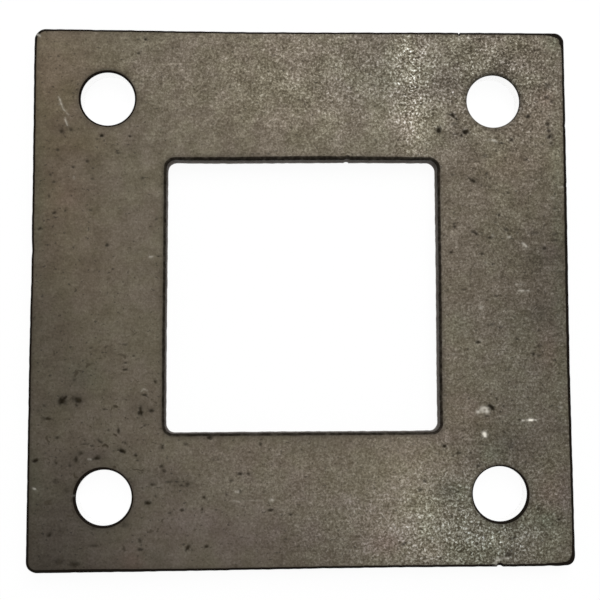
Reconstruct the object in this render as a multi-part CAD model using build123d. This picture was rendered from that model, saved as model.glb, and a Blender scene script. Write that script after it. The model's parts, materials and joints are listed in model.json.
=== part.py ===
from build123d import *
import os

# Square steel cover plate, profile-cut from hot-rolled plate. It drops over a square post and
# is held down by a bolt near each corner.
#
# Frame: the origin is the centre of the underside, +Z points out of the top face, and X and Y
# run along the sides. Lengths are in millimetres.

# Plate
PLATE_SIDE = 150.0
PLATE_THICKNESS = 5.0
RIM_RADIUS = 1.0  # the outer rim of the top face, rounded by handling
BURR_CHAMFER = 0.3  # takes the burr off every rim of the underside

CORNER_RADIUS = 3.0
BLUNTED_CORNER_RADIUS = 3.5  # the corner at -X +Y, knocked a little blunter than the rest

# Window for the post
POST_SIDE = 75.0
POST_CLEARANCE = 0.5  # on each side of the post
WINDOW_SIDE = POST_SIDE + 2 * POST_CLEARANCE
WINDOW_CORNER_RADIUS = 2.5
WINDOW_RIM_RADIUS = 0.8

# Fixing holes, one near each corner
HOLE_DIAMETER = 15.0
HOLE_SPACING = (108.5, 110.0)  # along X and along Y
HOLE_RIM_RADIUS = 0.8

# Marks through the whole thickness, left where the torch started and ended each contour,
# and a ding on the +Y side: (x, y) on the contour, width along it, depth into the metal
CONTOUR_START = ((53.8, -PLATE_SIDE / 2), 1.6, 0.4)
WINDOW_START = ((12.7, WINDOW_SIDE / 2), 1.3, 0.35)
DING = ((44.8, PLATE_SIDE / 2), 0.6, 0.4)


def plate_outline():
    """Plan of the plate: a square with rounded corners, anticlockwise from -X -Y."""
    half = PLATE_SIDE / 2
    corners = [(-half, -half), (half, -half), (half, half), (-half, half)]
    radii = [CORNER_RADIUS, CORNER_RADIUS, CORNER_RADIUS, BLUNTED_CORNER_RADIUS]
    return make_face(FilletPolyline(*corners, radius=radii, close=True))


def window_outline():
    """Plan of the window: the post's section with its clearance, and rounded corners."""
    return RectangleRounded(WINDOW_SIDE, WINDOW_SIDE, WINDOW_CORNER_RADIUS)


def hole_outlines():
    """Plan of the four fixing holes."""
    with BuildSketch() as holes:
        with GridLocations(*HOLE_SPACING, 2, 2):
            Circle(HOLE_DIAMETER / 2)
    return holes.sketch


def break_rims(part, edges, top_radius):
    """Round the rims that lie in the top face and chamfer those that lie in the underside."""
    by_height = edges.group_by(Axis.Z)
    part = fillet(by_height[-1], top_radius)
    underside = part.edges().group_by(Axis.Z)[0]
    sharp = [edge for edge in underside if any(edge.is_same(low) for low in by_height[0])]
    return chamfer(sharp, BURR_CHAMFER)


def cut_through(part, outline, top_radius):
    """Cut an outline right through the plate and break the rims that this leaves."""
    before = part.edges()
    part = part - extrude(outline, PLATE_THICKNESS)
    cut_rims = part.edges().filter_by(lambda edge: not any(edge.is_same(old) for old in before))
    return break_rims(part, cut_rims, top_radius)


def edge_mark(place, width, depth):
    """A shallow elliptical bite out of a contour, through the whole thickness."""
    bite = Ellipse(width / 2, depth)
    return Pos(*place) * extrude(bite, PLATE_THICKNESS)


def cover_plate():
    blank = extrude(plate_outline(), PLATE_THICKNESS)
    plate = break_rims(blank, blank.edges(), RIM_RADIUS)
    plate = cut_through(plate, window_outline(), WINDOW_RIM_RADIUS)
    plate = cut_through(plate, hole_outlines(), HOLE_RIM_RADIUS)
    for mark in (CONTOUR_START, WINDOW_START, DING):
        plate -= edge_mark(*mark)
    return plate


os.makedirs("parts", exist_ok=True)
export_step(cover_plate(), "parts/cover_plate.step")
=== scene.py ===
import json
import math

import bpy
import numpy as np
from mathutils import Matrix, Vector
from mathutils.geometry import delaunay_2d_cdt


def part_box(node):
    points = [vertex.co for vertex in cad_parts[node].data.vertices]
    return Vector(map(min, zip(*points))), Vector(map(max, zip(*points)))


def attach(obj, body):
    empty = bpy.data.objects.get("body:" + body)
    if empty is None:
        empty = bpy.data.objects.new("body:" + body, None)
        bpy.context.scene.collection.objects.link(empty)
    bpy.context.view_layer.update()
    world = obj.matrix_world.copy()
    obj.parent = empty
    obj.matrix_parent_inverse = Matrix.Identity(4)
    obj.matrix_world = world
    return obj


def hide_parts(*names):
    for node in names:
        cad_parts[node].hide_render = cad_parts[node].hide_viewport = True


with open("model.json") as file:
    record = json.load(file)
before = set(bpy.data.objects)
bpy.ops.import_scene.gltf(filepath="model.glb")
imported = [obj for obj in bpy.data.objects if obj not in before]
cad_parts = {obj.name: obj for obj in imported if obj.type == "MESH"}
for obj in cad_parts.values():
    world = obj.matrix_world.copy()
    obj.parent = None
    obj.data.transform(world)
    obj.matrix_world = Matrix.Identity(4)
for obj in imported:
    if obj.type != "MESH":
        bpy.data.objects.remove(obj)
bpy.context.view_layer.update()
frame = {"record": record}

# A square steel cover plate, dressed as one dense mesh: cut walls with drag lines, worn rims,
# pits and scratches, and a skin of mottled mill scale. Lengths are in millimetres until the
# mesh is written, in the frame's metres.
MM = 0.001

# -------------------------------- sizes, from the frame
LOW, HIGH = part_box("cover_plate")
HALF = (HIGH.x - LOW.x) / 2 / MM
THICKNESS = (HIGH.z - LOW.z) / MM
BOLTS = next(m for m in frame["record"]["mounts"] if m["name"] == "fixing_holes")["dims"]
HOLE_RADIUS = BOLTS["hole_r_mm"]
HOLE_X, HOLE_Y = BOLTS["spacing_x_mm"] / 2, BOLTS["spacing_y_mm"] / 2
WINDOW_HALF = 38.0
WINDOW_CORNER = 2.5
CORNER = 3.0
BLUNTED_CORNER = 3.5  # at -X +Y
BURR = 0.3

# Radius of the worn rim round the top face, for each kind of contour
OUTER_RIM, WINDOW_RIM, HOLE_RIM = 1.0, 0.8, 0.8

# -------------------------------- mesh density
TOP_PITCH = 0.68
UNDERSIDE_PITCH = 1.5
MARK_PITCH = 0.24
CONTOUR_PITCH = 0.55
ARC_PITCH = 0.36
NOTCH_PITCH = 0.12
APRONS = (0.25, 0.1)  # rows on the top face that keep the rim's shading off the flat
RIM_TURNS = (0.0, 0.12, 0.24, 0.38, 0.6, 1.0)  # rows round the rim, as shares of a quarter turn
WALL_ROWS = 5
WALL_TOP = THICKNESS - 1.0  # where the shades of the cut walls begin, lightened lower down by painted bounce light
WALL_INSET = 0.06  # rows this close to the wall's ends keep its colour and shading crisp
SHAKE = 0.12  # how far the faces' points are shaken, as a share of their pitch
EDGE_GAP = 0.3  # between a face's inner points and its rims, in pitches of the top face
UNDERSIDE_GAP = 0.3
PIT_REACH = 0.75  # of the fine mesh round a pit, as a share of the pit's length
MARK_GAP = 0.1  # between the fine mesh round a mark and the coarse mesh
SPOT_STEP = 0.4  # between the fine discs along a scratch
SEARCH_STEP = 0.05  # along a contour, when looking for its point nearest a place
SAME_POINT = 1e-7

# -------------------------------- the cut and its marks
WANDER_WAVES = (29, 53, 97, 151, 211)  # ripples round a contour
SHORTEST_WAVE = 2.5
WANDER_DEPTH = 0.014
DRAG_DEPTH, DRILLED_DEPTH = 0.04, 0.004  # of the drag lines, and of a drilled wall's marks
DRAG_PITCH = 0.8
DRAG_TRAIL = 1.6  # how far the drag lines lag behind at the foot of the wall
DRAG_DRIFT = 0.05  # how much they change on their way down
BLACK_RIM_EDGE = 0.2  # half the width of the soft edge of a rim's black, painted edge shadow over oxide
RIM_SHADOW_REACH = 0.45  # of the shadow on the top face beside its rims

# Depths of the top face's relief
STEP_DEPTH = 0.018  # where scale has flaked off
GRAIN_DEPTH = 0.003
PIT_DEPTH = 0.12
RUB_DEPTH = 0.05

# Bites through the whole thickness: contour, place, width along it, depth into the metal
BITES = (
    ("outer", (53.8, -75), 1.6, 0.4),  # where the torch closed the outline
    ("window", (12.7, 38), 1.3, 0.35),  # where it started the window
    ("outer", (44.8, 75), 0.6, 0.4),  # a ding
)
# Soft dents, and the slow wander of the cut: contour, place, reach along it, depth. The
# outline only goes inwards; the window also goes the other way.
DENTS = (
    ("outer", (-15, 75), 45, 0.45),
    ("outer", (-75, 30), 40, 0.24),
    ("outer", (-75, 5), 8, 0.12),
    ("outer", (20, -75), 46, 0.3),
    ("outer", (75, -18), 40, 0.34),
    ("outer", (75, 48), 0.6, 0.15),
    ("outer", (75, 31), 0.5, 0.15),
    ("outer", (-75, 13), 1.6, 0.15),
    ("outer", (68, -75), 1.8, 0.1),
    ("outer", (72, -75), 0.9, 0.14),
    ("window", (-24, 38), 22, -0.3),
    ("window", (-38, 14), 24, -0.15),
    ("window", (38, -24), 20, -0.14),
    ("window", (-10, -38), 40, -0.12),
)

# How far in from each contour its rim is painted black, as edge shadow over dark cut oxide,
# and where it reaches further in: contour, place, reach along it, extra depth
BLACK_RIM_DEPTH = {
    "outer": 0.85,
    "window": 0.8,
    "hole-1-1": 0.6,
    "hole1-1": 0.5,
    "hole11": 0.2,
    "hole-11": 0.5,
}
BLACK_RIM_STRENGTH = {"window": 0.6, "hole11": 0.7}  # of full black, where it is weaker
BLACK_RIM_REACHES = (
    ("outer", (75, 0), 68, 0.3),
    ("outer", (74.1, 74.1), 3, 0.9),
    ("outer", (74.1, -74.1), 5, 0.45),
    ("outer", (-74, 74), 4, 0.2),
    ("outer", (-60, -75), 20, 0.3),
    ("window", (0, 38), 30, 0.3),
    ("hole-1-1", (-58, -49), 7, 0.3),
    ("hole1-1", (58, -61.5), 8, 0.2),
    ("hole-11", (-49, 49), 7, 0.2),
)

# -------------------------------- marks on the top face
# Dark pits and specks: (x, y, length, width, darkness, and turn in degrees where it has one)
PITS = (
    # the left side, below its middle
    (-65.6, -28.8, 2.1, 1.9, 0.9), (-64.9, -28, 1.3, 0.9, 0.8, 35),
    (-61.3, -28.6, 2.6, 1.6, 0.85, -12), (-61.8, -30, 1, 1.2, 0.55),
    (-62.4, -23.2, 1.2, 1, 0.35), (-69.5, -33.6, 2.6, 0.9, 0.75, -5),
    (-70.5, -30.2, 1.2, 0.9, 0.35), (-72, -31.5, 1, 1, 0.35),
    (-66.9, -38.7, 1.3, 0.8, 0.5, 10), (-72.5, -44.8, 1.7, 1, 0.95),
    (-60.5, -43, 1.2, 1, 0.6), (-61.7, -44.7, 1.2, 1.5, 0.55),
    (-56.2, -44.3, 2, 1, 0.75, 15), (-67, -45.5, 0.8, 0.7, 0.5),
    (-63.3, -46.3, 1, 1, 0.5), (-49.2, -42.5, 1.8, 1.1, 0.95, -20),
    (-50.4, -42.2, 1.2, 0.5, 0.6), (-48.5, -40.2, 0.6, 0.6, 0.5),
    (-45.6, -43.7, 1, 0.9, 0.7), (-45.1, -45, 0.8, 0.6, 0.5),
    (-44.3, -31.4, 0.9, 2.3, 0.85, 5), (-44.8, -32.3, 0.8, 0.9, 0.6),
    (-41.4, -31.6, 1.5, 1, 0.55), (-43.2, -35.7, 0.8, 0.6, 0.45),
    (-43.4, -27.3, 1.3, 0.6, 0.6), (-40.5, -23.7, 0.9, 0.8, 0.7),
    (-48.6, -20.4, 1.6, 0.6, 0.55), (-48.6, -18.5, 0.9, 0.5, 0.5),
    (-49, -13.6, 2.2, 0.6, 0.3), (-62.8, -18.8, 0.7, 0.6, 0.4),
    (-58.2, -14.5, 0.9, 0.5, 0.45), (-54.3, -31.2, 1.2, 0.6, 0.5),
    (-53, -36.7, 0.8, 0.7, 0.4), (-50.3, -37, 0.7, 1.6, 0.6),
    (-55.3, -39.8, 1.8, 0.7, 0.5, -35), (-57.3, -41, 1.2, 0.5, 0.45),
    (-59.5, -40.5, 1.8, 0.7, 0.35), (-48.6, -28.5, 0.8, 0.5, 0.4),
    (-46.4, -16.7, 0.8, 0.5, 0.4),
    # the corner at -X -Y and the bottom
    (-38.5, -41.5, 0.9, 1, 0.75), (-42.2, -56.5, 1.6, 1.1, 0.85, -10),
    (-42.9, -56.2, 0.8, 0.8, 0.5), (-68.5, -64.6, 1.7, 1, 0.7, 45),
    (-65.6, -63.7, 1.2, 1, 0.35), (-56.6, -67.7, 2, 1, 0.35),
    (-66, -71.8, 3, 1.5, 0.35), (-61.8, -72.7, 2.5, 1.5, 0.5),
    (-67, -50.5, 1.5, 1.2, 0.35), (-64, -53, 1.4, 1.2, 0.35),
    (-48.5, -62.2, 2, 1.6, 0.3, 30), (-57, -63, 1.4, 1, 0.35),
    (-62.5, -55.5, 1, 1.2, 0.4), (-48.8, -68.7, 0.8, 0.8, 0.4),
    (-44.2, -66.5, 1, 1.3, 0.5), (-44.2, -68.8, 1.4, 0.8, 0.5),
    (-41, -51.6, 1.3, 0.9, 0.55), (-38.6, -46.6, 1, 0.8, 0.5),
    (-38, -47.9, 1.2, 1, 0.4), (-36.6, -50.9, 1.8, 0.7, 0.35),
    (-34.4, -50.9, 0.8, 0.8, 0.55), (-31.6, -51.7, 1.3, 1.1, 0.65, 40),
    (-33.2, -51.9, 1, 0.6, 0.4), (-40.2, -54.6, 0.8, 0.8, 0.45),
    (-27, -55.1, 1, 0.8, 0.7), (-32.9, -58.5, 1.2, 0.8, 0.55),
    (-27.6, -58.3, 0.7, 0.9, 0.5), (-36.2, -59.2, 0.9, 0.8, 0.45),
    (-31.4, -68.6, 1.7, 0.9, 0.85, 60), (-26.4, -68.3, 1.1, 0.9, 0.75),
    (-25.7, -39, 1.3, 0.8, 0.85), (-32, -40.7, 1.4, 0.9, 0.4),
    (-24.5, -45, 0.8, 0.8, 0.4), (-23.3, -45, 0.7, 0.7, 0.35),
    (-11.7, -40.9, 0.8, 1, 0.55), (-17.2, -48.9, 1.3, 0.8, 0.6),
    (-15, -48.9, 0.8, 0.7, 0.5), (-19.7, -50.7, 0.8, 0.6, 0.45),
    (-17.3, -53.6, 0.8, 0.9, 0.45), (-21, -54.4, 0.8, 0.8, 0.4),
    (-9, -58.7, 1.5, 0.8, 0.65), (-3.5, -60, 1, 0.8, 0.5),
    # the left side, above its middle
    (-55.7, 44.4, 1.1, 0.9, 0.85, 20), (-57, 43.4, 0.9, 0.6, 0.4, 30),
    (-47.9, 44.2, 0.9, 0.6, 0.65), (-66.8, 45.6, 1, 0.9, 0.5),
    (-64.3, 45.9, 0.9, 0.8, 0.5), (-67.8, 40.4, 1, 0.7, 0.4),
    (-63.5, 35.5, 0.8, 0.7, 0.5), (-59.7, 37.2, 1, 0.8, 0.45),
    (-51.2, 39.5, 1.3, 0.7, 0.4), (-69.8, 33.4, 0.8, 0.7, 0.35),
    (-68.7, 31.4, 1, 0.7, 0.35), (-58.2, 32.3, 1, 0.7, 0.3),
    (-44.4, 32.5, 0.9, 0.7, 0.35), (-70, 27.5, 0.6, 1, 0.5),
    (-68.5, 22.7, 1.1, 0.9, 0.65, 20), (-65.5, 23.3, 0.7, 0.7, 0.4),
    (-58.6, 23.5, 1.4, 0.7, 0.35), (-72.3, 18.4, 1.3, 0.8, 0.5, 10),
    (-40.6, 21, 1, 0.7, 0.4, 20), (-53.9, 13.7, 1.1, 1.2, 0.5),
    (-63.2, 13.2, 0.7, 0.7, 0.4), (-39.8, 10.7, 0.9, 0.4, 0.5),
    (-43.8, 71.8, 0.8, 0.6, 0.6), (-45.7, 67.9, 0.8, 0.8, 0.45),
    # the corner at +X +Y
    (42.2, 50.9, 2, 0.6, 0.8), (42.6, 50.8, 1.6, 0.9, 0.95, -65),
    (43.6, 49.6, 1.2, 0.6, 0.8, -40), (42.9, 48.3, 2, 0.9, 0.3),
    (38.5, 46.6, 1.6, 1.4, 0.95, 30), (46.1, 46, 1.5, 1.2, 0.95),
    (45, 44.9, 0.7, 1.2, 0.6, 20), (43.5, 45.3, 2, 0.35, 0.5),
    (59.2, 43.8, 0.9, 0.8, 0.6), (56.4, 42.8, 1.1, 0.5, 0.5, -25),
    (64, 50.5, 1.2, 0.9, 0.75), (69.7, 48.4, 1, 1.2, 0.7),
    (70, 46.5, 0.9, 1, 0.55), (70, 44.7, 1.2, 1.2, 0.7),
    (70.5, 42.8, 0.8, 0.8, 0.5), (70, 59.3, 1.6, 1.8, 0.35),
    (69.5, 56, 1, 1, 0.4), (71, 54.8, 1, 1, 0.4),
    (51.5, 39, 1.5, 1, 0.3), (48.1, 32, 1.6, 0.9, 0.65, -20),
    (47, 32.8, 1.6, 0.4, 0.5, -40), (42.3, 33.8, 1, 0.5, 0.55),
    (52, 34, 0.9, 0.8, 0.45), (63.3, 38.2, 0.7, 0.6, 0.5),
    # the right side
    (57.8, 28.6, 1, 0.7, 0.45), (41.6, 11.9, 0.9, 0.7, 0.7),
    (42.7, 19.1, 0.8, 0.6, 0.6), (48.2, 17.4, 1.8, 0.8, 0.65, -40),
    (52.6, 16, 1.2, 0.6, 0.6), (54.1, 20.3, 0.9, 0.6, 0.5),
    (55.2, 22.4, 0.6, 0.9, 0.5), (57.2, 18.2, 1.5, 1, 0.4),
    (60.3, 17.2, 0.7, 0.6, 0.45), (65.5, 17.2, 3, 1.2, 0.3),
    (71, 17, 1.5, 1.3, 0.45), (71, 15.3, 1.5, 0.8, 0.5),
    (71.1, 24.1, 0.8, 0.8, 0.4), (68, 13, 1, 0.9, 0.5),
    (50.2, 11.4, 0.8, 0.7, 0.5), (53.2, 8.5, 0.7, 0.6, 0.5),
    (54, -0.4, 1, 0.5, 0.55), (52.6, -8.5, 1.8, 0.8, 0.4, 15),
    (54.9, -9.3, 0.8, 0.5, 0.5), (59.8, -12.4, 1, 0.6, 0.6),
    (48.7, -13.2, 1.1, 0.7, 0.65), (64.2, -16.7, 0.9, 1.3, 0.65, 20),
    (65.6, -17.1, 1, 0.8, 0.4), (66, -14.3, 1.2, 0.8, 0.45),
    (57.2, -20.8, 0.7, 0.7, 0.45), (52.1, -31.2, 1.9, 1.3, 1, -35),
    (55.5, -31, 0.6, 0.8, 0.4), (50.9, -33.7, 1.2, 0.5, 0.4),
    (59.9, -34.7, 1, 0.5, 0.6), (38.9, -41.8, 1, 0.9, 0.95),
    # the corner at +X -Y
    (42.8, -43.8, 1.3, 0.8, 0.55), (41.2, -44.5, 0.8, 0.7, 0.4),
    (49.8, -41.5, 1.6, 0.7, 0.4, -10), (57.3, -42, 1.4, 1.3, 0.4),
    (48.3, -47.3, 1.4, 1, 0.5, 20), (33.3, -51.3, 1, 0.8, 0.55),
    (32, -53.6, 1.3, 0.9, 0.4), (27.4, -68.2, 1.8, 0.7, 0.55, 20),
    (42.7, -59.2, 1, 0.8, 0.45), (64.6, -59, 1.1, 1, 0.55),
    (70.3, -62, 0.9, 0.7, 0.85), (56.1, -71.3, 1.6, 1.4, 0.6),
    (57.2, -67.2, 1.6, 1.2, 0.35),
)
# Light scratches and rubbed spots: (points along it, width, brightness)
SCRATCHES = (
    (((-67.6, 55.3), (-67, 53.4), (-66.3, 51.8)), 0.45, 0.35),
    (((-66.3, 51.8), (-64.9, 50.3)), 0.35, 0.3),
    (((-65.8, 48.9), (-65.2, 47.3)), 0.4, 0.3),
    (((-42.3, 10.6), (-41.3, 10.7)), 0.4, 0.3),
    (((-63.3, 32.8), (-63, 32.4)), 0.7, 0.2),
    (((-18.3, -53.6), (-17.9, -53.6)), 0.8, 0.4),
    (((-19.1, -56), (-18.3, -56.1), (-17.5, -56.4)), 0.45, 0.25),
    (((-14.9, -56), (-11, -56.1)), 0.3, 0.12),
    (((-9.1, -55.9), (-8.5, -56)), 0.8, 0.3),
    (((-73.1, -52.2), (-72.5, -52.4)), 0.5, 0.35),
    (((-62.5, -54.3), (-62.1, -54.3)), 0.5, 0.15),
    (((-44.2, -26.3), (-43.6, -25.6), (-42.7, -26)), 0.4, 0.3),
    (((-58.4, -44.5), (-57.6, -44.6)), 0.5, 0.18),
    (((52.7, 43.8), (53.8, 43.7), (55, 43.3)), 0.6, 0.35),
    (((53.3, 16.7), (53.8, 16.5)), 0.6, 0.3),
    (((57.6, 16.2), (58.1, 16.2)), 0.7, 0.3),
    (((61.7, 14.5), (62.7, 13.6)), 0.7, 0.35),
    (((59.5, 2.9), (62, 2.9)), 0.35, 0.25),
    (((60.3, 1.1), (63.2, 1.1)), 0.45, 0.4),
    (((51, 9), (51.4, 9)), 0.6, 0.3),
    (((49.5, -3.6), (50, -3.6)), 1, 0.25),
    (((70.3, 27.3), (70.8, 27.3)), 0.7, 0.3),
    (((42.6, -31.5), (45.5, -31.4)), 0.35, 0.15),
    (((48.2, -32.4), (49.4, -32), (50.6, -31.8)), 1.1, 0.6),
    (((49.7, -31.7), (50.6, -32.1)), 1.6, 0.85),
    (((50, -38.3), (50.1, -39.1)), 1.1, 1.2),
    (((60.7, -34.9), (62.2, -34.8), (63.4, -34.7), (64.5, -34.8)), 0.4, 0.6),
    (((62, -34.8), (63.5, -34.7)), 0.6, 1.4),
    (((71, -31.2), (71.7, -31.4)), 0.6, 0.25),
    (((52.6, -74.2), (52.7, -73), (53.7, -72.5)), 0.6, 0.5),
    (((54.2, -72.3), (56, -72.3)), 0.5, 0.3),
    (((41.8, -72.9), (42.2, -72.9)), 0.7, 0.5),
    (((44.7, 73.3), (44.6, 72.6)), 0.5, 0.5),
    (((47.2, 73.2), (47.6, 72.9)), 0.5, 0.5),
    (((73.5, 30.5), (72.2, 30.4)), 0.4, 0.5),
    (((-73.9, 73), (-73.2, 72.6)), 0.6, 0.7),
)

# -------------------------------- zones of the skin
# Shifts of red, green and blue that each tint stands for
TINTS = {
    "light": (1, 1, 1),
    "warm": (0.5, 0.1, -0.4),
    "cool": (-0.4, 0, 0.4),
    "blue": (0, 0, 1),
    "red": (0.5, -0.3, -0.3),
    "green": (-0.4, 0.2, -0.1),
    "violet": (0.1, -0.25, 0.35),
}
# Broad shades, partly the scale's own tone and partly painted highlight: (strength, x, y, reach
# along x, reach along y); a negative strength darkens
BROAD_TONE_AND_HIGHLIGHTS = (
    # the left side darkens towards its edge and towards the bottom corner
    (-0.2, -78, -5, 11, 80), (-0.38, -66, -62, 18, 22),
    (-0.3, -72, -74, 12, 10), (-0.28, -52, -76, 26, 6),
    (-0.22, -70, -8, 14, 22),
    # the top: a painted highlight over the window, with a painted glint streak
    (0.14, 0, 58, 36, 24), (0.32, 31, 62, 4.5, 28),
    (0.1, 26, 47, 9, 8), (-0.06, 62, 66, 16, 10),
    (-0.1, -62, 50, 14, 10), (0.2, 36, 50, 42, 5),
    (-0.14, 58, 62, 16, 6), (-0.15, -62, 40, 14, 16),
    # the right side
    (-0.12, 60, 14, 12, 10), (-0.14, 52, 39, 6, 4),
    (0.16, 71, 38, 4, 14), (0.1, 40, -18, 5, 30),
    (-0.25, 74, 4, 11, 20), (-0.1, 74, 28, 9, 12),
    (0.18, 49, -20, 13, 14),
    # the bottom: a painted highlight to the right of the window's middle
    (0.17, -2, -47, 42, 14), (0.14, 6, -49, 30, 10),
    (0.12, 10, -61, 34, 7), (0.38, 31, -47, 11, 12),
    (-0.12, 1, -40, 5, 4), (-0.14, 56, -42, 8, 5),
    (0.46, 42, -66, 24, 13), (0.34, 27, -66, 12, 12),
    (0.1, 66, -66, 10, 12),
)
# Hues: (tint, then as for the shades)
HUES = (
    ("warm", 0.22, -72, 55, 16, 24), ("warm", 0.1, -66, 12, 14, 24),
    ("cool", 0.12, 28, 60, 22, 20), ("cool", 0.1, 58, -28, 20, 26),
    ("cool", 0.13, 50, -66, 32, 14), ("green", 0.09, 50, -66, 28, 14),
    ("blue", 0.07, -25, -60, 60, 16), ("violet", 0.1, -68, -72, 12, 6),
    ("violet", 0.1, 24, -56, 4, 3), ("violet", 0.1, 24, -68, 4, 3),
    ("violet", 0.1, 41, -40, 5, 3.5), ("violet", 0.09, -18, -64, 18, 5),
    ("violet", 0.06, 14, -69, 6, 3), ("violet", 0.12, 72, -54, 2, 10),
    ("green", 0.08, 44, -8, 4, 4), ("green", 0.1, 72, 20, 1.8, 50),
    ("green", 0.1, -60, -22, 5, 4), ("green", 0.1, 41, -54, 5, 4),
    ("green", 0.15, 72.5, 72.5, 3, 3), ("red", 0.08, 69.6, 55.6, 2.5, 2.5),
    ("red", 0.09, 68.5, -16, 3, 5), ("red", 0.1, 68, -54.5, 3.5, 5),
    ("red", 0.07, 22, -68, 4, 3), ("red", 0.12, -46, -72, 3, 3),
    ("red", 0.08, 46, -33, 7, 6), ("red", 0.08, -66, 27, 5, 5),
    ("violet", 0.1, -57.5, -43, 3, 1.8), ("violet", 0.1, -35, -72, 5, 2),
    ("violet", 0.1, 70.5, 13, 2.5, 2.5), ("green", 0.12, -73, 25, 1.5, 20),
    ("green", 0.1, -73, -50, 2, 8), ("green", 0.12, 52, -44, 3, 2.5),
    ("green", 0.1, 67, -62.5, 4, 3), ("green", 0.08, -41, -70.5, 5, 2),
    ("warm", 0.08, -60, 42, 8, 4), ("warm", 0.08, 56, 36.5, 10, 5),
)
# Small patches, as for the shades; the two light ones at the bottom right add painted highlight
PATCHES = (
    (-0.3, 40, -54, 4, 3), (-0.22, 66, 10, 4, 4),
    (-0.2, 66, -5, 3, 3), (-0.2, 72, -37, 3, 3),
    (-0.18, 56, -41, 3, 3), (-0.15, 43, 60, 3.5, 2.5),
    (-0.15, 57, 66, 3, 2.5), (-0.2, -64, -28.8, 6, 3),
    (-0.14, -43.5, -32, 4, 3.5), (-0.14, -58, -44, 9, 2.5),
    (-0.12, -71, -32.5, 3, 4), (-0.15, -42, -50, 9, 3),
    (-0.14, -33, -51.5, 4, 2), (-0.16, 44, 47.5, 4, 3.5),
    (-0.14, 50, 32.5, 5, 2.5), (-0.14, 70, 46, 2, 5),
    (-0.12, -66, 46, 4, 2), (-0.16, -55, -55, 10, 10),
    (-0.14, -61, -22, 5, 4), (-0.16, 68.5, 32.5, 4, 3),
    (-0.16, 67, -62.5, 3.5, 2.5), (-0.18, 57, -63.8, 3, 2),
    (-0.15, 55, -71, 5, 2), (-0.12, 58, -8, 6, 5),
    (-0.1, 66, -6, 10, 8), (0.25, 35, -70, 3, 2.5),
    (0.25, 53, -67.5, 3, 2.5),
)

# Zones where the scale is coarse and glitters, its glints painted into its colour: (strength, x, y,
# reach along x, reach along y)
GRAIN_AND_GLINT_ZONES = (
    (2, 62, 0, 40, 200),
    (3.4, 5, 62, 38, 22),
    (1, -42, 62, 16, 12),
    (4, 31, 60, 5, 24),
    (4, 56, 64, 18, 16),
    (4.6, 45, -68, 24, 18),
    (1.4, 6, -66, 16, 12),
    (1, -5, -48, 30, 10),
)
QUIET_GRAIN_AND_GLINT = 1.2  # strength of the grain and its painted glints away from those zones
CLUMPS = 0.22  # share of that strength for the grain's loose clumps

# Zones with brown blots in the scale: (strength, x, y, reach along x, reach along y)
BLOT_ZONES = (
    (0.9, -56, -38, 22, 26),
    (0.6, 69, 42, 6, 26),
    (0.4, 60, 5, 16, 20),
    (0.4, -20, -66, 40, 10),
    (0.4, 55, -60, 22, 18),
)
QUIET_BLOTS = 0.2  # strength of the blots away from those zones


# -------------------------------- small tools
def smooth_step(low, high, value):
    """0 below low, 1 above high, and a smooth rise between them."""
    t = np.clip((value - low) / (high - low), 0.0, 1.0)
    return t * t * (3.0 - 2.0 * t)


def lattice_noise(x, y, size, seed):
    """Smooth noise from -1 to 1 whose features are about size across."""
    cells = np.random.default_rng(seed).uniform(-1.0, 1.0, (64, 64))
    u = x / size + 17.3
    v = y / size + 29.1
    i = np.floor(u).astype(int)
    j = np.floor(v).astype(int)
    fu = smooth_step(0.0, 1.0, u - i)
    fv = smooth_step(0.0, 1.0, v - j)

    def cell(di, dj):
        return cells[(i + di) % 64, (j + dj) % 64]

    low = cell(0, 0) * (1 - fu) + cell(1, 0) * fu
    high = cell(0, 1) * (1 - fu) + cell(1, 1) * fu
    return low * (1 - fv) + high * fv


def to_rounded_square(x, y, half, corner):
    """Distance outside a rounded square centred on the origin; negative inside it."""
    qx = np.abs(x) - half + corner
    qy = np.abs(y) - half + corner
    outside = np.hypot(np.maximum(qx, 0.0), np.maximum(qy, 0.0))
    return outside + np.minimum(np.maximum(qx, qy), 0.0) - corner


def to_hole(x, y):
    """Distance outside the nearest fixing hole."""
    return np.hypot(np.abs(x) - HOLE_X, np.abs(y) - HOLE_Y) - HOLE_RADIUS


def from_rims(x, y):
    """Distance from the flat part of the top face to its nearest rim; negative on the rims."""
    outer = -to_rounded_square(x, y, HALF, BLUNTED_CORNER) - OUTER_RIM
    window = to_rounded_square(x, y, WINDOW_HALF, WINDOW_CORNER) - WINDOW_RIM
    return np.minimum(np.minimum(outer, window), to_hole(x, y) - HOLE_RIM)


def from_path(x, y, path):
    """Distance to a run of straight lines through the path's points."""
    nearest = np.full(np.shape(x), np.inf)
    for (ax, ay), (bx, by) in zip(path, path[1:]):
        dx, dy = bx - ax, by - ay
        t = np.clip(((x - ax) * dx + (y - ay) * dy) / (dx * dx + dy * dy), 0.0, 1.0)
        nearest = np.minimum(nearest, np.hypot(x - ax - t * dx, y - ay - t * dy))
    return nearest


def in_oval(x, y, oval_x, oval_y, length, width, turn=0.0):
    """Distance from an oval's centre, as a share of its size in that direction."""
    c, s = math.cos(math.radians(turn)), math.sin(math.radians(turn))
    along = (x - oval_x) * c + (y - oval_y) * s
    across = (y - oval_y) * c - (x - oval_x) * s
    return np.hypot(along / (length / 2), across / (width / 2))


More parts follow.
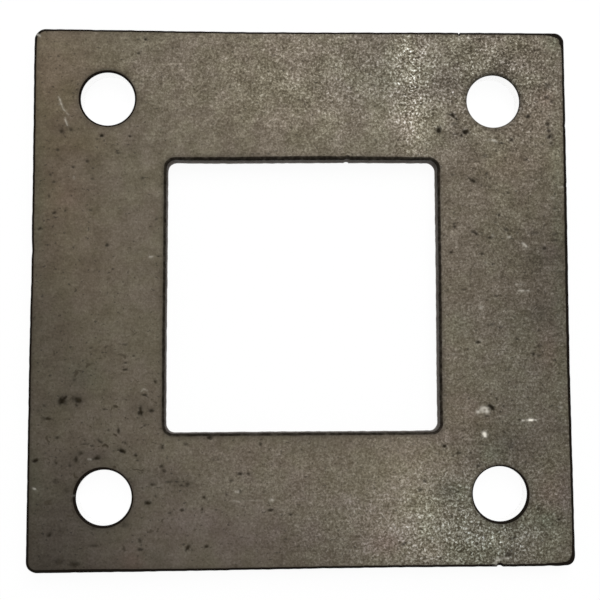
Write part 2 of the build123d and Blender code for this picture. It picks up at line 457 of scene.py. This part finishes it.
# -------------------------------- contours
class Contour:
    """A closed edge of the plate, made of straights and arcs, with the metal on one side."""

    def __init__(self, name, segments, rim, metal_on_left):
        self.name = name
        self.segments = segments
        self.rim = rim
        self.side = 1.0 if metal_on_left else -1.0
        self.is_hole = name.startswith("hole")
        self.starts = np.cumsum([0.0] + [segment["length"] for segment in segments])
        self.length = self.starts[-1]
        self.s = self.places()

    def at(self, s):
        """Points on the contour at arc lengths s, and the unit directions into the metal."""
        point = np.zeros((len(s), 2))
        into = np.zeros((len(s), 2))
        s = np.mod(s, self.length)
        index = np.clip(np.searchsorted(self.starts, s, "right") - 1, 0, len(self.segments) - 1)
        for k, segment in enumerate(self.segments):
            here = index == k
            t = s[here] - self.starts[k]
            if "radius" in segment:
                turn = segment["from"] + t / segment["radius"]
                out = np.stack([np.cos(turn), np.sin(turn)], 1)
                point[here] = segment["centre"] + segment["radius"] * out
                into[here] = -out * self.side
            else:
                along = segment["along"]
                point[here] = segment["start"] + t[:, None] * along
                into[here] = np.array([-along[1], along[0]]) * self.side
        return point, into

    def nearest(self, place):
        """Arc length of the contour's point nearest a place."""
        s = np.arange(0.0, self.length, SEARCH_STEP)
        point, _ = self.at(s)
        return s[np.argmin(np.hypot(*(point - np.array(place)).T))]

    def gap(self, s, centre):
        """Distance along the contour from centre, the short way round."""
        return np.abs((s - centre + self.length / 2) % self.length - self.length / 2)

    def places(self):
        """Arc lengths of the mesh's columns: even, and closer at arcs and at bites."""
        s = []
        for start, segment in zip(self.starts, self.segments):
            pitch = ARC_PITCH if "radius" in segment else CONTOUR_PITCH
            count = max(2, round(segment["length"] / pitch))
            s.append(start + np.arange(count) * segment["length"] / count)
        s = np.concatenate(s)
        for name, place, width, _ in BITES:
            if name == self.name:
                centre = self.nearest(place)
                s = s[self.gap(s, centre) > width / 2 + NOTCH_PITCH]
                fine = np.arange(-width / 2, width / 2 + 0.01, NOTCH_PITCH)
                s = np.concatenate([s, centre + fine])
        return np.sort(np.mod(s, self.length))

    def black_rim_depth(self):
        """How far in each column's rim is painted black, as edge shadow over dark cut oxide."""
        depth = np.full(len(self.s), BLACK_RIM_DEPTH[self.name])
        for name, place, reach, extra in BLACK_RIM_REACHES:
            if name == self.name:
                depth += extra * np.exp(-((self.gap(self.s, self.nearest(place)) / reach) ** 2))
        return depth

    def set_back(self):
        """How far each column stands back into the metal: cutting wander, bites and dents."""
        s = self.s
        turn = 2 * math.pi * s / self.length
        rng = np.random.default_rng(len(self.segments) + int(self.length))
        back = np.zeros(len(s))
        for waves in WANDER_WAVES:
            if self.length / waves > SHORTEST_WAVE:
                back += WANDER_DEPTH * np.sin(waves * turn + rng.uniform(0, 2 * math.pi))
        for name, place, width, depth in BITES:
            if name == self.name:
                share = np.clip(self.gap(s, self.nearest(place)) / (width / 2), 0.0, 1.0)
                back += depth * np.sqrt(1.0 - share**2)
        for name, place, reach, depth in DENTS:
            if name == self.name:
                back += depth * np.exp(-((self.gap(s, self.nearest(place)) / reach) ** 2))
        return np.maximum(back, 0.0) if self.name == "outer" else back


def rounded_polygon(name, corners, radii, rim, metal_on_left):
    """A contour through corners listed anticlockwise, each rounded by its radius."""
    corners = [np.array(corner, float) for corner in corners]
    arcs = []
    for k, (corner, radius) in enumerate(zip(corners, radii)):
        before = corner - corners[k - 1]
        after = corners[(k + 1) % len(corners)] - corner
        before /= np.hypot(*before)
        after /= np.hypot(*after)
        turn = math.atan2(before[0] * after[1] - before[1] * after[0], before @ after)
        tangent = radius * math.tan(turn / 2)
        start = corner - before * tangent
        centre = start + radius * np.array([-before[1], before[0]])
        first = math.atan2(*(start - centre)[::-1])
        end = corner + after * tangent
        arcs.append({"centre": centre, "radius": radius, "from": first,
                     "length": radius * turn, "end": end, "begin": start})
    segments = []
    for k, arc in enumerate(arcs):
        run = arcs[(k + 1) % len(arcs)]["begin"] - arc["end"]
        length = float(np.hypot(*run))
        segments.append(arc)
        segments.append({"start": arc["end"], "along": run / length, "length": length})
    return Contour(name, segments, rim, metal_on_left)


def circle(name, centre, radius, rim):
    """A round hole's contour, in four arcs."""
    quarter = math.pi / 2
    segments = [
        {"centre": np.array(centre), "radius": radius, "from": k * quarter,
         "length": radius * quarter}
        for k in range(4)
    ]
    return Contour(name, segments, rim, metal_on_left=False)


def plate_contours():
    h = HALF
    outline = [(-h, -h), (h, -h), (h, h), (-h, h)]
    radii = (CORNER, CORNER, CORNER, BLUNTED_CORNER)
    w = WINDOW_HALF
    window = [(-w, -w), (w, -w), (w, w), (-w, w)]
    contours = [
        rounded_polygon("outer", outline, radii, OUTER_RIM, True),
        rounded_polygon("window", window, (WINDOW_CORNER,) * 4, WINDOW_RIM, False),
    ]
    for sx, sy in ((-1, -1), (1, -1), (1, 1), (-1, 1)):
        centre = (sx * HOLE_X, sy * HOLE_Y)
        contours.append(circle(f"hole{sx}{sy}", centre, HOLE_RADIUS, HOLE_RIM))
    return contours


# -------------------------------- the skin's own numbers
def relief(x, y):
    """How far the top face lies below its highest plane: waviness, scale steps, pits, marks."""
    depth = 0.02 + 0.012 * lattice_noise(x, y, 24.0, 1) + 0.008 * lattice_noise(x, y, 7.0, 2)
    patches = lattice_noise(x, y, 5.0, 3) + 0.6 * lattice_noise(x, y, 2.1, 4)
    depth += STEP_DEPTH * smooth_step(0.25, 0.4, patches)
    depth += GRAIN_DEPTH * (1 + lattice_noise(x, y, 0.9, 5)) * grain_and_glint_strength(x, y)
    return depth + PIT_DEPTH * soot(x, y) + RUB_DEPTH * rubbed(x, y)


def summed(zones, quiet, x, y):
    """Strength of soft oval zones at each point, over a quiet level."""
    total = np.full(np.shape(x), quiet)
    for strength, zone_x, zone_y, reach_x, reach_y in zones:
        share = ((x - zone_x) / reach_x) ** 2 + ((y - zone_y) / reach_y) ** 2
        total += strength * np.exp(-share)
    return total


def grain_and_glint_strength(x, y):
    """How coarse the scale is, and how strong its painted glints are."""
    return summed(GRAIN_AND_GLINT_ZONES, QUIET_GRAIN_AND_GLINT, x, y)


def tone_and_highlights(x, y):
    """Colour multiplier of the scale, with its painted highlights, one row of red, green and blue
    for each point.
    """
    rgb = np.ones((len(x), 3))
    zones = [("light", *zone) for zone in BROAD_TONE_AND_HIGHLIGHTS]
    zones += [*HUES, *(("light", *zone) for zone in PATCHES)]
    for tint, strength, zone_x, zone_y, reach_x, reach_y in zones:
        share = ((x - zone_x) / reach_x) ** 2 + ((y - zone_y) / reach_y) ** 2
        rgb *= 1.0 + strength * np.exp(-share)[:, None] * np.array(TINTS[tint])
    return np.clip(rgb, 0.02, 3.0)


def soot(x, y):
    """Darkness of the pits and specks, from 0 to 1, with ragged outlines."""
    dark = np.zeros(len(x))
    ragged = 0.35 * lattice_noise(x, y, 0.55, 7) + 0.2 * lattice_noise(x, y, 1.3, 8)
    for pit_x, pit_y, length, width, darkness, *turn in PITS:
        share = in_oval(x, y, pit_x, pit_y, length, width, *turn) + ragged
        dark = np.maximum(dark, darkness * np.exp(-(np.maximum(share, 0.0) ** 2.4)))
    return 1.0 - (1.0 - dark) ** 2


def rubbed(x, y):
    """Brightness of the scratches and rubbed spots, from 0 to 1, broken up along them."""
    light = np.zeros(len(x))
    broken = 0.7 + 0.6 * lattice_noise(x, y, 0.6, 9)
    for path, width, brightness in SCRATCHES:
        share = from_path(x, y, path) / (width / 2)
        light = np.maximum(light, brightness * broken * np.exp(-(share**2)))
    return np.clip(light, 0.0, 1.0)


# -------------------------------- the mesh
class Shell:
    """Vertices and faces, gathered part by part, with a map place for each face's corner."""

    def __init__(self):
        self.points = []
        self.rim_oxide_and_shadow = []
        self.wall = []
        self.drilled = []
        self.faces = []
        self.map_places = []
        self.count = 0

    def add(self, points, rim_oxide_and_shadow=0.0, wall=0.0, drilled=0.0):
        """Adds vertices, with each one's painted rim black (edge shadow over oxide), how far down a
        cut wall and how drilled it is.
        """
        first = self.count
        self.points.append(points)
        for store, value in ((self.rim_oxide_and_shadow, rim_oxide_and_shadow), (self.wall, wall), (self.drilled, drilled)):
            store.append(np.broadcast_to(value, len(points)).astype(float))
        self.count += len(points)
        return first

    def add_faces(self, faces, map_places):
        self.faces.extend(faces.tolist())
        self.map_places.append(map_places.reshape(-1, 2))


# Where each part lies on the texture map, in shares of its width
MAP_SCALE = 0.64 / 150.0  # for the top face and the walls, per mm
MAP_TOP = (0.33, 0.33)
MAP_UNDERSIDE, MAP_UNDERSIDE_SCALE = (0.83, 0.17), 0.3 / 150.0
MAP_STRIPS = (0.01, 0.985)
MAP_STRIP_LENGTH, MAP_STRIP_GAP = 160.0, 0.034


def map_flat(points, top):
    """Map places of points seen from straight above, or from below for the underside."""
    if top:
        return np.array(MAP_TOP) + points[..., :2] * MAP_SCALE
    return np.array(MAP_UNDERSIDE) + points[..., :2] * MAP_UNDERSIDE_SCALE


def height_share(height):
    """How far down the cut wall a height is, from 0 at the rim to 1 at the underside."""
    return float(np.clip(1.0 - height / WALL_TOP, 0.0, 1.0))


def wall_rows(contour):
    """(inset into the metal, height, turned, wall) of each row, from the top face down."""
    rim = contour.rim
    rows = [(rim + apron, THICKNESS, 0.0, 0.0) for apron in APRONS]
    for share in RIM_TURNS:
        turn = share * math.pi / 2
        inset, drop = rim * (1 - math.sin(turn)), rim * (1 - math.cos(turn))
        rows.append((inset, THICKNESS - drop, share, 0.0))
    top, bottom = THICKNESS - rim - WALL_INSET, BURR + WALL_INSET
    for k in range(WALL_ROWS + 1):
        rows.append((0.0, top + (bottom - top) * k / WALL_ROWS, 1.0, 1.0))
    rows.append((0.0, BURR, 1.0, 1.0))
    rows.append((BURR, 0.0, 0.8, 0.3))
    rows.append((BURR + APRONS[0], 0.0, 0.0, 0.0))
    return rows


def drag_lines(contour, height):
    """How far the lines left by the cut set each column back into the metal at a height."""
    down = 1.0 - height / THICKNESS
    trail = contour.s + DRAG_TRAIL * down * down
    lines = lattice_noise(trail, np.full(len(trail), height * DRAG_DRIFT), DRAG_PITCH, 6)
    depth = DRILLED_DEPTH if contour.is_hole else DRAG_DEPTH
    return depth * (1 + lines) * smooth_step(0.05, 0.4, down)


def join_rings(shell, contour, rows, rings, strip):
    """Adds the faces between a contour's rings. Returns the map's next free strip."""
    everything = np.concatenate(shell.points)
    start = contour.s
    end = np.append(start[1:], start[0] + contour.length)
    piece = (start // MAP_STRIP_LENGTH).astype(int)
    heights = [height for _, height, _, _ in rows]
    low_wall = len(APRONS) + len(RIM_TURNS) - 1
    for k, (upper, lower) in enumerate(zip(rings, rings[1:])):
        quads = np.column_stack([upper, np.roll(upper, -1), np.roll(lower, -1), lower])
        if k < low_wall:
            places = map_flat(everything[quads], top=True)
        elif heights[k + 1] == 0.0:
            places = map_flat(everything[quads], top=False)
        else:
            along = np.column_stack([start, end, end, start]) - piece[:, None] * MAP_STRIP_LENGTH
            down = THICKNESS - np.repeat(heights[k:k + 2], 2)
            v = MAP_STRIPS[1] - (strip + piece)[:, None] * MAP_STRIP_GAP - down * MAP_SCALE
            places = np.stack([MAP_STRIPS[0] + along * MAP_SCALE, v], -1)
        if contour.side > 0:
            quads, places = quads[:, ::-1], places[:, ::-1]
        shell.add_faces(quads, places)
    return strip + piece.max() + 1


def add_wall(shell, contour, strip):
    """The rim and cut wall of one contour. Returns its end rings and the map's next strip."""
    point, into = contour.at(contour.s)
    back = contour.set_back()
    black_depth = contour.black_rim_depth()
    rows = wall_rows(contour)
    rings = []
    for inset, height, turned, wall in rows:
        stand_back = inset + back
        if wall == 1.0:
            stand_back = stand_back + drag_lines(contour, height)
        place = point + into * np.reshape(stand_back, (-1, 1))
        z = np.full(len(point), height)
        if height > THICKNESS - contour.rim:
            z = z - relief(place[:, 0], place[:, 1]) * (1.0 - turned)
        # the rim's painted black: edge shadow over dark cut oxide, with a soft inner edge
        rim_oxide_and_shadow = (1.0 - smooth_step(black_depth - BLACK_RIM_EDGE, black_depth + BLACK_RIM_EDGE, inset)) * (1.0 - wall)
        rim_oxide_and_shadow = rim_oxide_and_shadow * BLACK_RIM_STRENGTH.get(contour.name, 1.0)
        drilled = float(contour.is_hole and wall > 0.0)
        cut = (1.0 + height_share(height)) * wall * (1.0 - drilled)
        ring = shell.add(np.column_stack([place, z]), rim_oxide_and_shadow * (height > 0.0), cut, drilled)
        rings.append(np.arange(ring, ring + len(point)))
    return rings[0], rings[-1], join_rings(shell, contour, rows, rings, strip)


def hex_points(pitch, seed):
    """Points on a slightly shaken triangular grid over the whole plate."""
    row_height = pitch * math.sqrt(3) / 2
    x, y = np.meshgrid(np.arange(-HALF, HALF, pitch), np.arange(-HALF, HALF, row_height))
    x[1::2] += pitch / 2
    shake = np.random.default_rng(seed).uniform(-SHAKE, SHAKE, (2,) + x.shape) * pitch
    return (x + shake[0]).ravel(), (y + shake[1]).ravel()


def mark_spots():
    """Discs where the pits and scratches need a finer mesh: x, y and reach."""
    spots = [(pit[0], pit[1], max(pit[2:4]) * PIT_REACH) for pit in PITS]
    for path, width, _ in SCRATCHES:
        for (ax, ay), (bx, by) in zip(path, path[1:]):
            steps = max(1, math.ceil(math.hypot(bx - ax, by - ay) / SPOT_STEP))
            for k in range(steps + 1):
                spots.append((ax + (bx - ax) * k / steps, ay + (by - ay) * k / steps, width))
    return spots


def top_points():
    """Inner points of the top face, closer together round the marks."""
    x, y = hex_points(TOP_PITCH, 11)
    fine_x, fine_y = hex_points(MARK_PITCH, 12)
    near = np.zeros(len(x), bool)
    fine_near = np.zeros(len(fine_x), bool)
    for spot_x, spot_y, reach in mark_spots():
        near |= np.hypot(x - spot_x, y - spot_y) < reach + MARK_GAP
        fine_near |= np.hypot(fine_x - spot_x, fine_y - spot_y) < reach
    x = np.concatenate([x[~near], fine_x[fine_near]])
    y = np.concatenate([y[~near], fine_y[fine_near]])
    keep = from_rims(x, y) > APRONS[0] + EDGE_GAP * TOP_PITCH
    return x[keep], y[keep]


def underside_points():
    x, y = hex_points(UNDERSIDE_PITCH, 13)
    keep = from_rims(x, y) > UNDERSIDE_GAP
    return x[keep], y[keep]


def inside_ring(points, ring):
    """Whether each point is inside a closed ring of points."""
    crossings = np.zeros(len(points), int)
    for (ax, ay), (bx, by) in zip(ring, np.roll(ring, -1, axis=0)):
        if ay != by:
            spans = (ay > points[:, 1]) != (by > points[:, 1])
            crossings += spans & (points[:, 0] < ax + (bx - ax) * (points[:, 1] - ay) / (by - ay))
    return crossings % 2 == 1


def add_face(shell, rings, x, y, top):
    """Fills a flat face between its rings with triangles, through the points x, y."""
    z = THICKNESS - relief(x, y) if top else np.zeros(len(x))
    first = shell.add(np.column_stack([x, y, z]))
    used = np.concatenate(rings + [np.arange(first, first + len(x))])
    everything = np.concatenate(shell.points)
    flat = everything[used, :2]
    edges = []
    start = 0
    for ring in rings:
        index = np.arange(start, start + len(ring))
        edges.extend(np.column_stack([index, np.roll(index, -1)]).tolist())
        start += len(ring)
    inside_edges = 1
    verts, _, faces, origin, _, _ = delaunay_2d_cdt(
        [Vector(p) for p in flat.tolist()], edges, [], inside_edges, SAME_POINT
    )
    if len(verts) != len(flat):
        raise RuntimeError("the face's triangulation made or lost points")
    back = np.array([o[0] for o in origin])
    triangles = back[np.array(faces)]
    doubtful = np.flatnonzero((triangles < start).all(axis=1))
    middle = flat[triangles[doubtful]].mean(axis=1)
    void = np.zeros(len(doubtful), bool)
    for ring in rings[1:]:
        void |= inside_ring(middle, everything[ring, :2])
    triangles = used[np.delete(triangles, doubtful[void], axis=0)]
    a, b, c = (everything[triangles[:, k], :2] for k in range(3))
    area = (b[:, 0] - a[:, 0]) * (c[:, 1] - a[:, 1]) - (b[:, 1] - a[:, 1]) * (c[:, 0] - a[:, 0])
    flip = area < 0 if top else area > 0
    triangles[flip] = triangles[flip][:, ::-1]
    shell.add_faces(triangles, map_flat(everything[triangles], top))


def build_plate():
    shell = Shell()
    tops, bottoms = [], []
    strip = 0
    for contour in plate_contours():
        top, bottom, strip = add_wall(shell, contour, strip)
        tops.append(top)
        bottoms.append(bottom)
    add_face(shell, tops, *top_points(), top=True)
    add_face(shell, bottoms, *underside_points(), top=False)
    points = np.concatenate(shell.points)
    points = np.clip(points, (-HALF, -HALF, 0.0), (HALF, HALF, THICKNESS))
    points[:, 2] += LOW.z / MM
    mesh = bpy.data.meshes.new("cover_plate_steel")
    mesh.from_pydata((points * MM).tolist(), [], shell.faces)
    layer = mesh.uv_layers.new(name="OFBake")
    layer.data.foreach_set("uv", np.concatenate(shell.map_places).ravel())
    paint(mesh, points, shell)
    mesh.polygons.foreach_set("use_smooth", [True] * len(mesh.polygons))
    mesh.update()
    plate = bpy.data.objects.new("cover_plate_steel", mesh)
    bpy.context.collection.objects.link(plate)
    return plate


def paint(mesh, points, shell):
    """Writes the numbers that the material reads as attributes of the mesh's points."""
    x, y = points[:, 0], points[:, 1]
    on_top = (points[:, 2] > THICKNESS / 2).astype(float)
    rgba = np.ones((len(x), 4))
    rgba[:, :3] = tone_and_highlights(x, y)
    tone_and_highlights_layer = mesh.attributes.new("tone_and_highlights", "FLOAT_COLOR", "POINT")
    tone_and_highlights_layer.data.foreach_set("color", rgba.ravel())
    layers = {
        "rim_oxide_and_shadow": np.concatenate(shell.rim_oxide_and_shadow),
        "wall": np.concatenate(shell.wall),
        "drilled": np.concatenate(shell.drilled),
        "grain_and_glints": grain_and_glint_strength(x, y),
        "blots": summed(BLOT_ZONES, QUIET_BLOTS, x, y),
        "soot": soot(x, y) * on_top,
        "rubbed": rubbed(x, y) * on_top,
        "near_rim": np.exp(-np.maximum(from_rims(x, y), 0.0) / RIM_SHADOW_REACH) * on_top,
    }
    for name, values in layers.items():
        layer = mesh.attributes.new(name, "FLOAT", "POINT")
        layer.data.foreach_set("value", np.ascontiguousarray(values, float))


# -------------------------------- the material
def colour(red, green, blue):
    return (red, green, blue, 1.0)


SCALE = colour(0.09, 0.075, 0.052), colour(0.108, 0.092, 0.067)
TINGE = colour(1.01, 0.985, 1.02), colour(0.99, 1.005, 0.97)
BLOT = colour(0.035, 0.027, 0.016)
OXIDE = colour(0.009, 0.007, 0.004), colour(0.022, 0.017, 0.010)
CUT_FACE = colour(0.026, 0.019, 0.013), colour(0.08, 0.063, 0.05)
WALL_MIDDLE_BOUNCE_LIGHT = colour(0.15, 0.125, 0.11)
WALL_FOOT_BOUNCE_LIGHT = colour(0.3, 0.29, 0.27)
RIM_SHADOW = colour(0.028, 0.023, 0.016)
RIM_OXIDE_AND_SHADOW = colour(0.008, 0.006, 0.004)
BARE = colour(0.62, 0.59, 0.52)
DRILLED = colour(0.97, 0.97, 0.965)
GRAIN_AND_GLINT_TINGE = (0.93, 1.0, 1.14)  # how much red, green and blue follow the grain and its painted glints
BULK = (0.3, 0.7)  # where most of a noise's values lie
BUMP_HEIGHT = 0.03 * MM
WHITE = colour(1.0, 1.0, 1.0)


class Nodes:
    """Short ways to add nodes to a material or the world."""

    def __init__(self, tree):
        self.tree = tree
        self.place = None

    def put(self, socket, value):
        if isinstance(value, bpy.types.NodeSocket):
            self.tree.links.new(value, socket)
        else:
            socket.default_value = value

    def add(self, kind, inputs=None, **settings):
        """A new node of a kind, with its settings and its inputs."""
        node = self.tree.nodes.new("ShaderNode" + kind)
        for name, setting in settings.items():
            setattr(node, name, setting)
        for name, value in (inputs or {}).items():
            self.put(node.inputs[name], value)
        return node

    def scaled(self, vector, scale):
        """The vector with each of its parts multiplied."""
        return self.add("Mapping", {"Vector": vector, "Scale": scale}).outputs["Vector"]

    def noise(self, size, detail=2.0, stretch=(1.0, 1.0, 1.0), roughness=0.5, warp=0.0):
        """Noise from 0 to 1 with features about size mm across, longer where stretched."""
        if self.place is None:
            metres = self.add("TexCoord").outputs["Object"]
            self.place = self.scaled(metres, (1 / MM, 1 / MM, 1 / MM))
        inputs = {
            "Vector": self.scaled(self.place, tuple(1 / (size * k) for k in stretch)),
            "Scale": 1.0,
            "Detail": detail,
            "Roughness": roughness,
            "Distortion": warp,
        }
        return self.add("TexNoise", inputs).outputs["Fac"]

    def maths(self, operation, *values):
        return self.add("Math", dict(enumerate(values)), operation=operation).outputs["Value"]

    def exponents(self, power, shares):
        """A colour whose red, green and blue are e to the power times each one's share."""
        parts = [self.maths("EXPONENT", self.maths("MULTIPLY", power, k)) for k in shares]
        return self.add("CombineColor", dict(enumerate(parts))).outputs["Color"]

    def spread(self, value, low, high, to_low=0.0, to_high=1.0):
        """The value's stretch from low to high, mapped smoothly to another stretch."""
        names = ("Value", "From Min", "From Max", "To Min", "To Max")
        inputs = dict(zip(names, (value, low, high, to_low, to_high)))
        return self.add("MapRange", inputs, interpolation_type="SMOOTHSTEP").outputs["Result"]

    def painted(self, name, output="Fac"):
        """A number, or a colour, painted on the mesh's points."""
        return self.add("Attribute", attribute_name=name).outputs[output]

    def mix(self, share, first, second, blend="MIX"):
        """A colour between first and second."""
        inputs = {0: share, 6: first, 7: second}
        return self.add("Mix", inputs, data_type="RGBA", blend_type=blend).outputs[2]

    def times(self, colour, factor):
        inputs = {"Vector": colour, "Scale": factor}
        return self.add("VectorMath", inputs, operation="SCALE").outputs["Vector"]


def new_material(name):
    """An empty material, and the means to add its nodes."""
    material = bpy.data.materials.new(name)
    material.use_nodes = True
    material.node_tree.nodes.clear()
    return material, Nodes(material.node_tree)


def steel_material():
    material, n = new_material("mill_scale")
    wall = n.painted("wall")
    cut = n.maths("MINIMUM", wall, 1.0)
    drilled = n.painted("drilled")
    near_rim = n.painted("near_rim")
    # how coarse the grain is, and how strong its painted glints are
    strength = n.painted("grain_and_glints")
    pits = n.painted("soot")
    bright = n.painted("rubbed")

    # The scale's colour: close shades in clouds, toned by the painted zones, which also hold
    # painted highlights
    clouds = n.noise(6.0, detail=5.0, roughness=0.6)
    shade = n.mix(n.spread(clouds, *BULK), *SCALE)
    hues = n.noise(9.0, detail=3.0)
    shade = n.mix(1.0, shade, n.mix(n.spread(hues, 0.35, 0.65), *TINGE), "MULTIPLY")
    shade = n.mix(1.0, shade, n.painted("tone_and_highlights", "Color"), "MULTIPLY")

    # Rolling streaks, faint and long, with the rolling direction along X
    streaks = n.noise(0.9, detail=3.0, stretch=(9.0, 1.0, 1.0))
    shade = n.times(shade, n.spread(streaks, 0.25, 0.75, 0.95, 1.05))

    # Grain: light and dark crystals in loose clumps, stronger where the scale glitters, its glints
    # painted as bright crystals. It bleaches the scale rather than deepening its colour, so blue
    # follows it the most.
    grain_and_glints = n.noise(0.62, detail=2.0, roughness=0.6, warp=0.6)
    clumps = n.noise(1.5, detail=1.0)
    loose = n.maths("MULTIPLY", n.maths("SUBTRACT", clumps, 0.5), CLUMPS)
    centred = n.maths("ADD", n.maths("SUBTRACT", grain_and_glints, 0.5), loose)
    power = n.maths("MULTIPLY", centred, strength)
    shade = n.mix(1.0, shade, n.exponents(power, GRAIN_AND_GLINT_TINGE), "MULTIPLY")

    # Scattered dark specks, and ragged brown blots
    specks = n.spread(n.noise(0.85, detail=1.0, stretch=(1.3, 1.0, 1.0)), 0.66, 0.74)
    shade = n.times(shade, n.maths("MULTIPLY_ADD", specks, -0.45, 1.0))
    blots = n.spread(n.noise(1.9, detail=3.0, stretch=(1.25, 1.0, 1.0), warp=0.7), 0.63, 0.72)
    blots = n.maths("MULTIPLY", blots, n.painted("blots"))
    shade = n.mix(blots, shade, BLOT)

    # Oxide in the pits and on the cut walls, with painted bounce light from the floor brightening
    # the walls towards their foot
    ragged = n.noise(1.1, detail=3.0)
    shade = n.mix(pits, shade, n.mix(n.spread(ragged, *BULK), *OXIDE))
    upright = n.noise(1.4, detail=4.0, stretch=(1.0, 1.0, 3.0))
    cut_face_and_bounce = n.mix(n.spread(upright, *BULK), *CUT_FACE)
    # painted bounce light from the floor, growing down the wall to its foot
    cut_face_and_bounce = n.mix(n.spread(wall, 1.0, 1.6, 0.0, 0.35), cut_face_and_bounce, WALL_MIDDLE_BOUNCE_LIGHT)
    cut_face_and_bounce = n.mix(n.spread(wall, 1.55, 1.95, 0.0, 0.5), cut_face_and_bounce, WALL_FOOT_BOUNCE_LIGHT)
    shade = n.mix(cut, shade, cut_face_and_bounce)

    # The rims: a painted brown-grey shadow where they begin, then black, a painted edge shadow over
    # dark cut oxide
    shade = n.mix(n.maths("MULTIPLY", near_rim, 0.45), shade, RIM_SHADOW)
    uneven = n.maths("MULTIPLY_ADD", n.maths("SUBTRACT", ragged, 0.5), 0.3, n.painted("rim_oxide_and_shadow"))
    rim_oxide_and_shadow = n.maths("MULTIPLY", n.spread(uneven, *BULK), n.maths("SUBTRACT", 1.0, cut))
    shade = n.mix(rim_oxide_and_shadow, shade, RIM_OXIDE_AND_SHADOW)

    # Bare metal where something rubbed, and on the walls of the drilled holes
    shade = n.mix(bright, shade, BARE)
    shade = n.mix(drilled, shade, DRILLED)

    grain_height = n.maths("MULTIPLY", grain_and_glints, 0.6)
    bump_height = n.maths("ADD", grain_height, n.maths("MULTIPLY", streaks, 0.4))
    flat_when_drilled = n.spread(drilled, 0.0, 1.0, 0.5, 0.0)
    bump = n.add("Bump", {
        "Strength": flat_when_drilled,
        "Distance": BUMP_HEIGHT,
        "Height": bump_height,
    })

    # Scale is half metallic; the black rims (painted edge shadow over oxide), soot and cut walls
    # are dull
    dull = n.maths("MAXIMUM", n.maths("MAXIMUM", rim_oxide_and_shadow, pits), n.maths("MULTIPLY", cut, 0.8))
    shiny = n.maths("MAXIMUM", bright, drilled)
    metallic = n.maths("MAXIMUM", n.spread(dull, 0.0, 1.0, 0.6, 0.0), shiny)
    roughness = n.spread(clouds, *BULK, 0.62, 0.5)

    surface = n.add("BsdfPrincipled", {
        "Base Color": shade,
        "Metallic": metallic,
        "Roughness": n.maths("MULTIPLY_ADD", drilled, -0.4, roughness),
        "Specular IOR Level": n.spread(dull, 0.0, 1.0, 0.25, 0.02),
        "Normal": bump.outputs["Normal"],
    })
    n.add("OutputMaterial", {"Surface": surface.outputs["BSDF"]})
    return material


# -------------------------------- floor, light and camera
FLOOR_SIZE = 6.0
FLOOR_GAP = 0.02 * MM  # below the underside
FLOOR_GLOW = 0.94  # share of its brightness that the floor shows whatever falls on it
KEY_PLACE, KEY_SIZE, KEY_POWER = (0.2, 0.8, 1.0), 1.0, 14.0
WORLD_LIGHT = 0.5


def seen_straight(n):
    """1 for camera, glossy and transmission rays, which show the white surroundings."""
    path = n.add("LightPath")
    rays = [path.outputs[f"Is {kind} Ray"] for kind in ("Camera", "Glossy", "Transmission")]
    return n.maths("MAXIMUM", n.maths("MAXIMUM", rays[0], rays[1]), rays[2])


def build_floor():
    bpy.ops.mesh.primitive_plane_add(size=FLOOR_SIZE, location=(0.0, 0.0, LOW.z - FLOOR_GAP))
    floor = bpy.context.active_object
    floor.name = "floor"
    material, n = new_material("white_floor")
    matt = n.add("BsdfDiffuse", {"Color": WHITE})
    glow = n.add("Emission")
    share = n.maths("MULTIPLY", seen_straight(n), FLOOR_GLOW)
    inputs = {"Fac": share, 1: matt.outputs["BSDF"], 2: glow.outputs["Emission"]}
    n.add("OutputMaterial", {"Surface": n.add("MixShader", inputs).outputs["Shader"]})
    floor.data.materials.append(material)


def build_world():
    world = bpy.data.worlds.new("studio")
    world.use_nodes = True
    n = Nodes(world.node_tree)
    inputs = {"Value": seen_straight(n), "To Min": WORLD_LIGHT, "To Max": 1.0}
    strength = n.add("MapRange", inputs).outputs["Result"]
    background = n.tree.nodes["Background"]
    n.put(background.inputs["Color"], WHITE)
    n.put(background.inputs["Strength"], strength)
    bpy.context.scene.world = world


def build_key_light():
    data = bpy.data.lights.new("key", "AREA")
    data.size = KEY_SIZE
    data.energy = KEY_POWER
    key = bpy.data.objects.new("key", data)
    key.location = KEY_PLACE
    key.rotation_mode = "QUATERNION"
    key.rotation_quaternion = Vector(KEY_PLACE).to_track_quat("Z", "Y")
    bpy.context.collection.objects.link(key)


# The camera hangs over the plate and looks almost straight down.
CAMERA_PLACE = (-8.11, -14.2, 220.8)  # from the middle of the top face
CAMERA_TURNS = (-3.32, 1.9, 0.1)  # degrees about X, Y and Z, in that order
LENS_MM, SENSOR_MM = 48.0, 36.0


def build_camera():
    data = bpy.data.cameras.new("camera")
    data.sensor_width = SENSOR_MM
    data.lens = LENS_MM
    data.clip_start = 0.01
    camera = bpy.data.objects.new("camera", data)
    x, y, z = (math.radians(turn) for turn in CAMERA_TURNS)
    to_camera = Matrix.Rotation(z, 3, "Z") @ Matrix.Rotation(y, 3, "Y") @ Matrix.Rotation(x, 3, "X")
    place = Vector(CAMERA_PLACE) * MM + Vector((0.0, 0.0, HIGH.z))
    camera.matrix_world = Matrix.Translation(place) @ to_camera.transposed().to_4x4()
    bpy.context.collection.objects.link(camera)
    bpy.context.scene.camera = camera


# -------------------------------- the scene
plate = build_plate()
plate.data.materials.append(steel_material())
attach(plate, "root")
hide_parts("cover_plate")

build_floor()
build_world()
build_key_light()
build_camera()
bpy.context.scene.view_settings.view_transform = "Standard"
